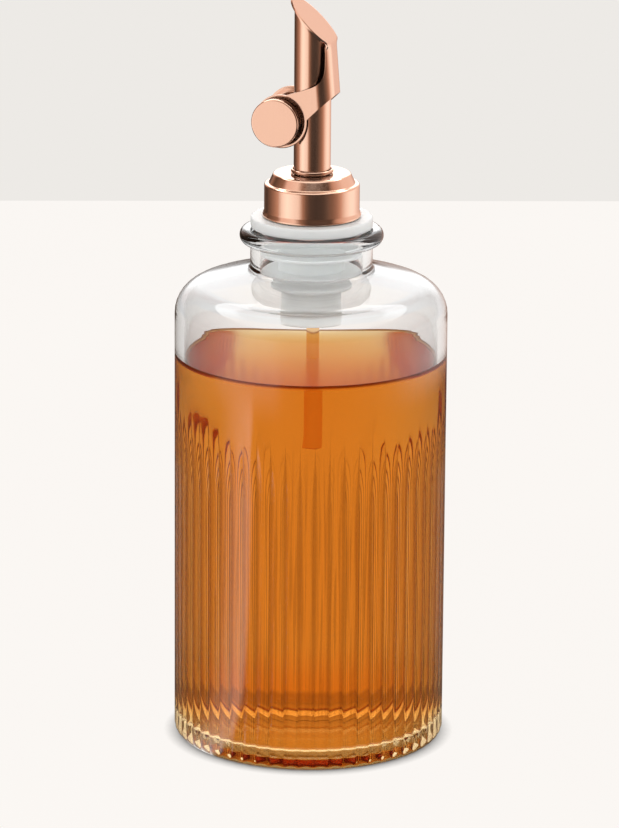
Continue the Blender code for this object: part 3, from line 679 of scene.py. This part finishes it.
def copper_plating(name, dark, light, smooth, rough):
    """Copper whose colour and roughness follow fine upright streaks.

    After a first reflection its colour is a duller brown: painted shade that keeps narrow gaps dark.
    """
    look = bpy.data.materials.new(name)
    look.use_nodes = True
    tree = look.node_tree
    shader = tree.nodes["Principled BSDF"]
    shader.inputs["Metallic"].default_value = 1.0
    place = new_node(tree, "ShaderNodeTexCoord").outputs["Object"]
    combing = new_node(tree, "ShaderNodeGroup", node_tree=brushing)
    tree.links.new(place, combing.inputs["Place"])
    streaks, clouds = combing.outputs["Streaks"], combing.outputs["Clouds"]
    both = calculate(tree, "MULTIPLY", clouds, 0.4)
    both = calculate(tree, "MULTIPLY_ADD", streaks, 0.6, both)
    metal = blend_colours(tree, both, dark, light)
    reflections = new_node(tree, "ShaderNodeLightPath").outputs["Glossy Depth"]
    again = calculate(tree, "GREATER_THAN", reflections, 0.5)
    metal = blend_colours(tree, again, metal, COPPER_IN_COPPER_PAINTED_SHADE)
    tree.links.new(metal, shader.inputs["Base Color"])
    depth = calculate(tree, "MULTIPLY_ADD", streaks, rough - smooth, smooth)
    tree.links.new(depth, shader.inputs["Roughness"])
    scratch = new_node(tree, "ShaderNodeBump")
    scratch.inputs["Strength"].default_value = 0.12
    scratch.inputs["Distance"].default_value = 0.04 * MM
    tree.links.new(streaks, scratch.inputs["Height"])
    tree.links.new(scratch.outputs[0], shader.inputs["Normal"])
    return look


copper_look = copper_plating("brushed_copper", (0.91, 0.575, 0.42), (0.97, 0.62, 0.46),
                             0.07, 0.19)
cap.data.materials.append(copper_look)
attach(cap, "pourer")
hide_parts("cap_shell")

# ---- Spout and its foot ring ----------------------------------------------------------
# A straight drawn tube, 10 mm across, cut at 45 degrees at the mouth with the high side
# to the front and its rim rounded off. A small bead closes the gap where it leaves the cap.
SPOUT_R, SPOUT_BORE_R = 5.13, 4.60
SPOUT_FOOT_Z, MOUTH_Z = 122.5, 204.0


def slanted_tube(outer, inner, foot, mouth, columns):
    """A tube whose mouth is the plane z = mouth - x, with a half-round rim.

    Rows run up the outside, over the rim, where the radius is the middle radius plus
    half the wall times cos t, and down the bore.
    """
    wall, middle = (outer - inner) / 2.0, (outer + inner) / 2.0
    up = np.array([0.0, 0.001, 0.003, 0.2, 0.4, 0.6, 0.8, 0.9, 0.96, 0.99, 1.0])
    rim = np.linspace(0.0, math.pi, 9)[1:-1]
    radius = np.concatenate([outer + 0 * up, middle + wall * np.cos(rim), inner + 0 * up])
    share = np.concatenate([up, 1.0 + 0 * rim, up[::-1]])
    lift = np.concatenate([0 * up - wall, wall * np.sin(rim) - wall, 0 * up - wall])
    angle = np.arange(columns) / columns * math.tau
    x, y = radius[:, None] * np.cos(angle), radius[:, None] * np.sin(angle)
    top = mouth - x + lift[:, None]
    return np.stack([x, y, foot + share[:, None] * (top - foot)], -1)


spout = skin("spout", slanted_tube(SPOUT_R, SPOUT_BORE_R, SPOUT_FOOT_Z, MOUTH_Z, 128),
             round_rows=True)
spout.data.materials.append(copper_look)
bead_outline = softened([
    (SPOUT_HOLE_R, 163.05, 0), (SPOUT_HOLE_R, 162.6, 0.1), (5.95, 162.6, 0.2), (5.95, 163.5, 0.34),
    (SPOUT_HOLE_R, 163.5, 0.1), (SPOUT_HOLE_R, 163.2, 0)])
bead = skin("spout_bead", turned(bead_outline, 96), round_rows=True)
bead.data.materials.append(copper_look)
for piece, node in ((spout, "spout_tube"), (bead, "spout_foot_ring")):
    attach(piece, "pourer")
    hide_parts(node)

# ---- Air tube -------------------------------------------------------------------------
# A thin copper tube that lets air in while the oil runs out. It is gripped by a small
# plug in the spout's foot and hangs into the oil a little off the spout's axis.
AIR_R, AIR_BORE_R = 1.8, 1.2
AIR_X, AIR_Y = 1.1, -1.9
AIR_LOW_Z = 87.0
air_outline = softened([
    (AIR_BORE_R, 130.0, 0), (AIR_BORE_R, AIR_LOW_Z, 0.15), (AIR_R, AIR_LOW_Z, 0.2),
    (AIR_R, 165.0, 0.2), (AIR_BORE_R, 165.0, 0.15), (AIR_BORE_R, 132.0, 0)], steps=4)
air_tube = skin("vent_tube", turned(filled_in(air_outline, 8.0), 48) + (AIR_X, AIR_Y, 0.0),
                round_rows=True)
# Its copper is more golden than the cap's: partly the copper's own colour, partly a painted amber
# reflection of the oil.
air_tube.data.materials.append(copper_plating("copper_and_painted_oil_reflection", (0.82, 0.50, 0.20),
                                              (0.92, 0.60, 0.28), 0.05, 0.12))
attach(air_tube, "pourer")
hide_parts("air_tube")
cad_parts["air_tube_holder"].data.materials.clear()
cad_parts["air_tube_holder"].data.materials.append(milky_look)

# ---- Flip lid ---------------------------------------------------------------------------
# One pressed sheet of plated copper: an oval plate on the slanted mouth, folded into a
# spine that widens into two arms. The arms pass the spout and end in two round eyes.
SHEET_T = 0.6
LID_LONG_R, LID_WIDE_R = 9.15, 7.1
PLATE_MID = 0.8              # plate's mid-surface above the mouth
FOLD_R = 1.8
LEAN = 0.08                  # the spine leans out by this for each mm downwards
LEAN_Z = 187.0
SPINE_X = 6.64               # spine's mid-surface at LEAN_Z
FLAT_Y, CORNER_R = 2.1, 3.925
BAND_HALF = 6.06
BAND_TOP_Z = 190.5           # the arms' upper edge runs into the spine's edge here
EYE_X, EYE_Z, EYE_R = -7.3, 177.5, 7.5
EYE_MEETS_TOP, EYE_MEETS_UNDER = 79.45, 5.82     # degrees on the eye's circle
RECESS, RECESS_EDGE = 0.35, (6.2, 6.8)   # the eye is sunk by this within these radii
TOP_Z, TOP_RISE = 186.93, 0.347          # an arm's upper edge: height at x = 0, slope
TOP_FOOT_H, TOP_FOOT_X, TOP_FOOT_W = 2.1, 4.5, 0.86
UNDER_Z = 178.1                          # its lower edge: height at x = 0
LEANS_FROM = (0.2, 2.6)                  # from here on, an arm leans with the spine


def eased(value, low, high):
    """A smooth step from 0 at low to 1 at high."""
    t = np.clip((value - low) / (high - low), 0.0, 1.0)
    return t * t * (3.0 - 2.0 * t)


def round_corner(girth):
    """Sideways place and drop behind the spine's flat at a distance along the section.

    The section is flat to FLAT_Y, then turns by a circle of CORNER_R into the arm, where
    only the drop goes on growing.
    """
    past = np.maximum(np.abs(girth) - FLAT_Y, 0.0)
    angle = np.minimum(past / CORNER_R, math.pi / 2.0)
    sideways = np.minimum(np.abs(girth), FLAT_Y) + CORNER_R * np.sin(angle)
    drop = CORNER_R * (1.0 - np.cos(angle)) + np.maximum(past - CORNER_R * math.pi / 2, 0.0)
    return np.sign(girth) * sideways, drop


def plate_and_spine(columns):
    """Rows along the plate, round the fold and down the spine to the arms.

    On the plate the half-width is the oval's, WIDE * sqrt(1 - (u / LONG) ** 2). Below the
    fold it grows towards the arms, and the section's corners grow with it.
    """
    root = math.sqrt(0.5)
    lean_angle = math.atan(LEAN)
    spine_top = SPINE_X + LEAN * (LEAN_Z - MOUTH_Z)
    crease = (spine_top / root - PLATE_MID * (1.0 + LEAN)) / (1.0 - LEAN)
    plate_end = crease - FOLD_R * math.tan((math.pi / 4.0 - lean_angle) / 2.0)
    angle = np.linspace(0.0, math.acos(-plate_end / LID_LONG_R), 44)
    u = -LID_LONG_R * np.cos(angle)
    plate = np.stack([root * (u + PLATE_MID), MOUTH_Z + root * (PLATE_MID - u)], 1)
    turn = np.linspace(math.pi / 4.0, lean_angle, 11)[1:]
    centre = plate[-1] - FOLD_R * root
    fold = centre + FOLD_R * np.stack([np.cos(turn), np.sin(turn)], 1)
    down = np.linspace(fold[-1, 1], BAND_TOP_Z, 26)[1:]
    spine = np.stack([SPINE_X + LEAN * (LEAN_Z - down), down], 1)
    path = np.concatenate([plate, fold, spine])
    tilt = np.concatenate([0 * u + math.pi / 4.0, turn, 0 * down + lean_angle])
    widths = ((BAND_TOP_Z, BAND_HALF), (191.2, 5.78), (192.0, 5.52), (193.0, 5.30),
              (194.3, 5.10), (195.6, 4.95), (197.0, 4.85), (198.3, 4.84), (199.9, 4.99))
    growing = np.interp(path[len(u):, 1], *zip(*widths))
    half = np.concatenate([LID_WIDE_R * np.sin(angle), growing])
    along = np.concatenate([[0.0], np.cumsum(np.linalg.norm(np.diff(path, axis=0), axis=1))])
    bent = eased(along, along[len(u) - 1] - 0.3, along[len(u) - 1] + 2.4)[:, None]
    girth = np.linspace(-1.0, 1.0, columns) * half[:, None]
    sideways, drop = round_corner(girth)
    sideways = girth + (sideways - girth) * bent
    drop = drop * bent
    return np.stack([path[:, :1] - np.cos(tilt)[:, None] * drop, sideways,
                     path[:, 1:] - np.sin(tilt)[:, None] * drop], -1)


def arm_top(x):
    """Height of an arm's upper edge: a rising line with a foot that grows as exp(x)."""
    return TOP_Z + TOP_RISE * x + TOP_FOOT_H * np.exp((x - TOP_FOOT_X) / TOP_FOOT_W)


def arm_edges(count):
    """Upper and lower edge (x, z) of an arm, from the round corner to the eye's far end.

    The upper edge is arm_top, then the eye's circle. The lower edge is a 45-degree line,
    then the same circle the other way.
    """
    start = SPINE_X - CORNER_R
    meet = math.radians(EYE_MEETS_TOP)
    x = np.linspace(start, EYE_X + EYE_R * math.cos(meet), 60)
    top = np.linspace(meet, math.pi, 90)[1:]
    upper = np.concatenate([
        np.stack([x, arm_top(x)], 1),
        np.stack([EYE_X + EYE_R * np.cos(top), EYE_Z + EYE_R * np.sin(top)], 1)])
    leave = math.radians(EYE_MEETS_UNDER)
    x = np.linspace(start, EYE_X + EYE_R * math.cos(leave), 30)
    shift = eased(x, *LEANS_FROM)
    line_z = (UNDER_Z + x + LEAN * LEAN_Z * shift) / (1.0 + LEAN * shift)
    under = np.linspace(leave, -math.pi, 160)[1:]
    lower = np.concatenate([
        np.stack([x, line_z], 1),
        np.stack([EYE_X + EYE_R * np.cos(under), EYE_Z + EYE_R * np.sin(under)], 1)])
    edges = []
    for edge in (upper, lower):
        length = np.concatenate([[0.0], np.cumsum(np.linalg.norm(np.diff(edge, axis=0), axis=1))])
        at = np.linspace(0.0, length[-1], count)
        edges.append(np.stack([np.interp(at, length, edge[:, k]) for k in (0, 1)], 1))
    return edges


def spine_and_arms(columns, corner_columns, arm_columns, rows):
    """Columns from the rear eye across the spine to the front eye.

    Each column is a straight line between the upper and the lower edge of the band, and
    the sheet leans out with the spine where it belongs to the spine.
    """
    quarter = CORNER_R * math.pi / 2.0 + FLAT_Y
    middle = np.linspace(-1.0, 1.0, columns) * BAND_HALF
    corner = np.linspace(BAND_HALF, quarter, corner_columns)[1:]
    girth = np.concatenate([-corner[::-1], middle, corner])
    sideways, drop = round_corner(girth)
    x_ref = SPINE_X - drop
    low = (UNDER_Z + x_ref + LEAN * LEAN_Z) / (1.0 + LEAN)
    high = 0 * x_ref + BAND_TOP_Z
    for _ in range(12):
        x = x_ref + LEAN * (LEAN_Z - high)
        beyond_band = np.abs(girth) > BAND_HALF + 0.001
        high = np.where(beyond_band, np.minimum(arm_top(x), BAND_TOP_Z), BAND_TOP_Z)
    upper, lower = arm_edges(arm_columns)
    upper, lower = upper[1:], lower[1:]
    arm_y = 0 * upper[:, 0] + FLAT_Y + CORNER_R
    top = np.concatenate([upper[::-1], np.stack([x_ref, high], 1), upper])
    bottom = np.concatenate([lower[::-1], np.stack([x_ref, low], 1), lower])
    y = np.concatenate([-arm_y, sideways, arm_y])
    t = np.linspace(0.0, 1.0, rows)[:, None]
    x = top[:, 0] * (1.0 - t) + bottom[:, 0] * t
    z = top[:, 1] * (1.0 - t) + bottom[:, 1] * t
    from_eye = np.hypot(x - EYE_X, z - EYE_Z)
    y = y - np.sign(y) * RECESS * (1.0 - eased(from_eye, *RECESS_EDGE))
    return np.stack([x + LEAN * (LEAN_Z - z) * eased(x, *LEANS_FROM), y + 0 * z, z], -1)


def joined_sheets(name, grids):
    """One open sheet from several grids whose shared edges are welded by place."""
    points, quads, first = [], [], 0
    for grid in grids:
        rows, columns = grid.shape[:2]
        index = first + np.arange(rows * columns).reshape(rows, columns)
        quads.append(np.stack([index[:-1, :-1], index[1:, :-1], index[1:, 1:],
                               index[:-1, 1:]], -1).reshape(-1, 4))
        points.append(grid.reshape(-1, 3))
        first += rows * columns
    points, quads = np.concatenate(points), np.concatenate(quads)
    _, kept, welded = np.unique(np.round(points, 3), axis=0, return_index=True,
                                return_inverse=True)
    faces = [list(dict.fromkeys(face)) for face in welded.reshape(-1)[quads].tolist()]
    faces = [face for face in faces if len(face) > 2]
    mesh = bpy.data.meshes.new(name)
    mesh.from_pydata((points[kept] * MM).tolist(), [], faces)
    mesh.shade_smooth()
    made = bpy.data.objects.new(name, mesh)
    bpy.context.scene.collection.objects.link(made)
    return made


LID_COLUMNS = 33
lid = joined_sheets("flip_lid_sheet", [plate_and_spine(LID_COLUMNS),
                                       spine_and_arms(LID_COLUMNS, 7, 84, 40)])
wall = lid.modifiers.new("sheet thickness", "SOLIDIFY")
wall.thickness = SHEET_T * MM
wall.offset = 0.0
wall.use_even_offset = True
rounding = lid.modifiers.new("rolled edges", "BEVEL")
rounding.width = 0.18 * MM
rounding.segments = 2
rounding.limit_method = "ANGLE"
rounding.angle_limit = math.radians(40.0)
lid.data.materials.append(copper_look)
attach(lid, "lid_lever")
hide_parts("flip_lid")

# ---- Counterweight and pivot --------------------------------------------------------------
# Two turned copper discs on a pin through the eyes swing the lid shut. Each has a softly
# rounded rim and a narrow step next to its eye. Two studs on the spout carry the lever.
WEIGHT_X, WEIGHT_Z = -8.1, 177.5
KNOB_R, KNOB_IN_Y, KNOB_OUT_Y = 6.75, 6.8, 9.6
knob_outline = filled_in(softened([
    (0.0, KNOB_OUT_Y, 0), (KNOB_R, KNOB_OUT_Y, 0.42), (KNOB_R, 7.12, 0.12),
    (6.15, 7.12, 0.08), (6.15, KNOB_IN_Y, 0.08), (2.3, KNOB_IN_Y, 0.1), (2.3, 8.9, 0.1),
    (0.0, 8.9, 0)]), 1.5)
knob_grid = turned(knob_outline, 128)
for side_name, side in (("front", -1.0), ("rear", 1.0)):
    placed = np.stack([knob_grid[..., 0] + WEIGHT_X, side * knob_grid[..., 2],
                       -side * knob_grid[..., 1] + WEIGHT_Z], -1)
    knob = skin("counterweight_" + side_name, placed, poles=True)
    knob.data.materials.append(copper_look)
    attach(knob, "lid_lever")
    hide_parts("weight_knob_" + side_name)
for node in ("weight_pin", "pivot_stud_front", "pivot_stud_rear"):
    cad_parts[node].data.materials.clear()
    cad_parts[node].data.materials.append(copper_look)
